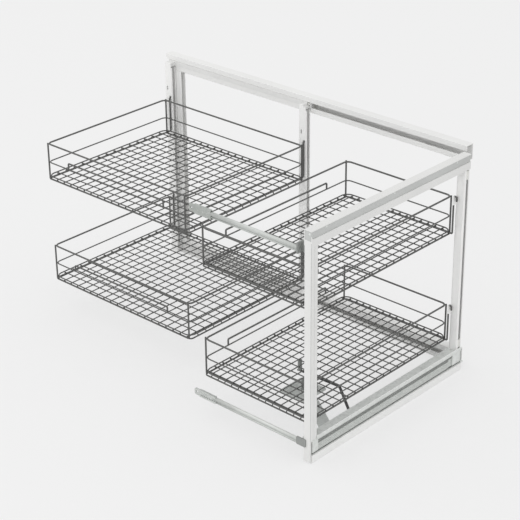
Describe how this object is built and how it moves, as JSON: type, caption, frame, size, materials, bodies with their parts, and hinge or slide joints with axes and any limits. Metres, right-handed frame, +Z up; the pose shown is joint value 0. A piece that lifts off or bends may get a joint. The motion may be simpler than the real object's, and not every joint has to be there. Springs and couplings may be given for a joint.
{
  "type": "pull out cabinet basket",
  "caption": "Corner cabinet pull-out: wire baskets on a frame that slides out and swings aside while rear baskets follow along a back rail.",
  "frame": {"origin": "centre of the footprint on the cabinet floor, unit stored", "axes": "+X along the back guide rails to the side with the runner, +Y to the back of the cabinet, +Z up"},
  "size_m": [0.9332, 0.5516, 0.535],
  "materials": {
    "basket_wire": "satin dark grey coated wire",
    "white_steel": "satin light grey powder coat",
    "zinc_steel": "bright zinc plated",
    "black_steel": "satin black",
    "nylon": "natural moulded nylon"
  },
  "bodies": {
    "base": {"guide_top": "white_steel", "guide_bottom": "white_steel", "guide_post_left": "white_steel", "guide_post_right": "white_steel", "base_strip": "white_steel", "runner_outer": "zinc_steel", "runner_stop": "zinc_steel"},
    "runner_middle": {"runner_middle": "zinc_steel"},
    "carriage": {"runner_inner": "zinc_steel", "carriage_front": "zinc_steel", "carriage_rear": "zinc_steel", "hinge_shaft": "zinc_steel"},
    "front_unit": {"frame_top_rail": "white_steel", "frame_rail_core": "white_steel", "frame_floor_lip": "white_steel", "frame_front_upright": "white_steel", "frame_rear_upright": "white_steel", "frame_floor_plate": "zinc_steel", "hinge_bush_lower": "nylon", "hinge_bush_upper": "nylon", "frame_rivets": "zinc_steel", "outrigger_hub": "zinc_steel", "outrigger_arm": "zinc_steel", "outrigger_crank": "black_steel", "outrigger_studs": "black_steel", "door_arm_upper": "zinc_steel", "door_arm_lower": "zinc_steel", "door_sleeve_upper": "zinc_steel", "door_sleeve_lower": "zinc_steel", "door_bracket_upper": "black_steel", "door_bracket_lower": "black_steel", "front_upper_rim": "basket_wire", "front_upper_rails": "basket_wire", "front_upper_posts": "basket_wire", "front_upper_cradle": "basket_wire", "front_upper_floor": "basket_wire", "front_lower_rim": "basket_wire", "front_lower_rails": "basket_wire", "front_lower_posts": "basket_wire", "front_lower_cradle": "basket_wire", "front_lower_floor": "basket_wire"},
    "rear_unit": {"rear_upright_left": "white_steel", "rear_upright_right": "white_steel", "rear_slide_top": "white_steel", "rear_slide_bottom": "white_steel", "rear_glides": "nylon", "rear_upper_rim": "basket_wire", "rear_upper_rails": "basket_wire", "rear_upper_posts": "basket_wire", "rear_upper_cradle": "basket_wire", "rear_upper_floor": "basket_wire", "rear_lower_rim": "basket_wire", "rear_lower_rails": "basket_wire", "rear_lower_posts": "basket_wire", "rear_lower_cradle": "basket_wire", "rear_lower_floor": "basket_wire"}
  },
  "joints": [
    {"name": "pull", "type": "slide", "parent": "base", "child": "carriage", "axis": [0, -1, 0], "range_m": [0, 0.44]},
    {"name": "runner_follow", "type": "slide", "parent": "base", "child": "runner_middle", "axis": [0, -1, 0], "range_m": [0, 0.22]},
    {"name": "swing", "type": "hinge", "parent": "carriage", "child": "front_unit", "pos_m": [0.45709, 0.23125, 0.0535], "axis": [0, 0, 1], "range_deg": [0, 90]},
    {"name": "rear_shift", "type": "slide", "parent": "base", "child": "rear_unit", "axis": [1, 0, 0], "range_m": [0, 0.378]}
  ],
  "couplings": [
    {"joint": "runner_follow", "follows": "pull", "ratio": 0.5},
    {"joint": "rear_shift", "follows": "swing", "m_per_rad": 0.24}
  ]
}
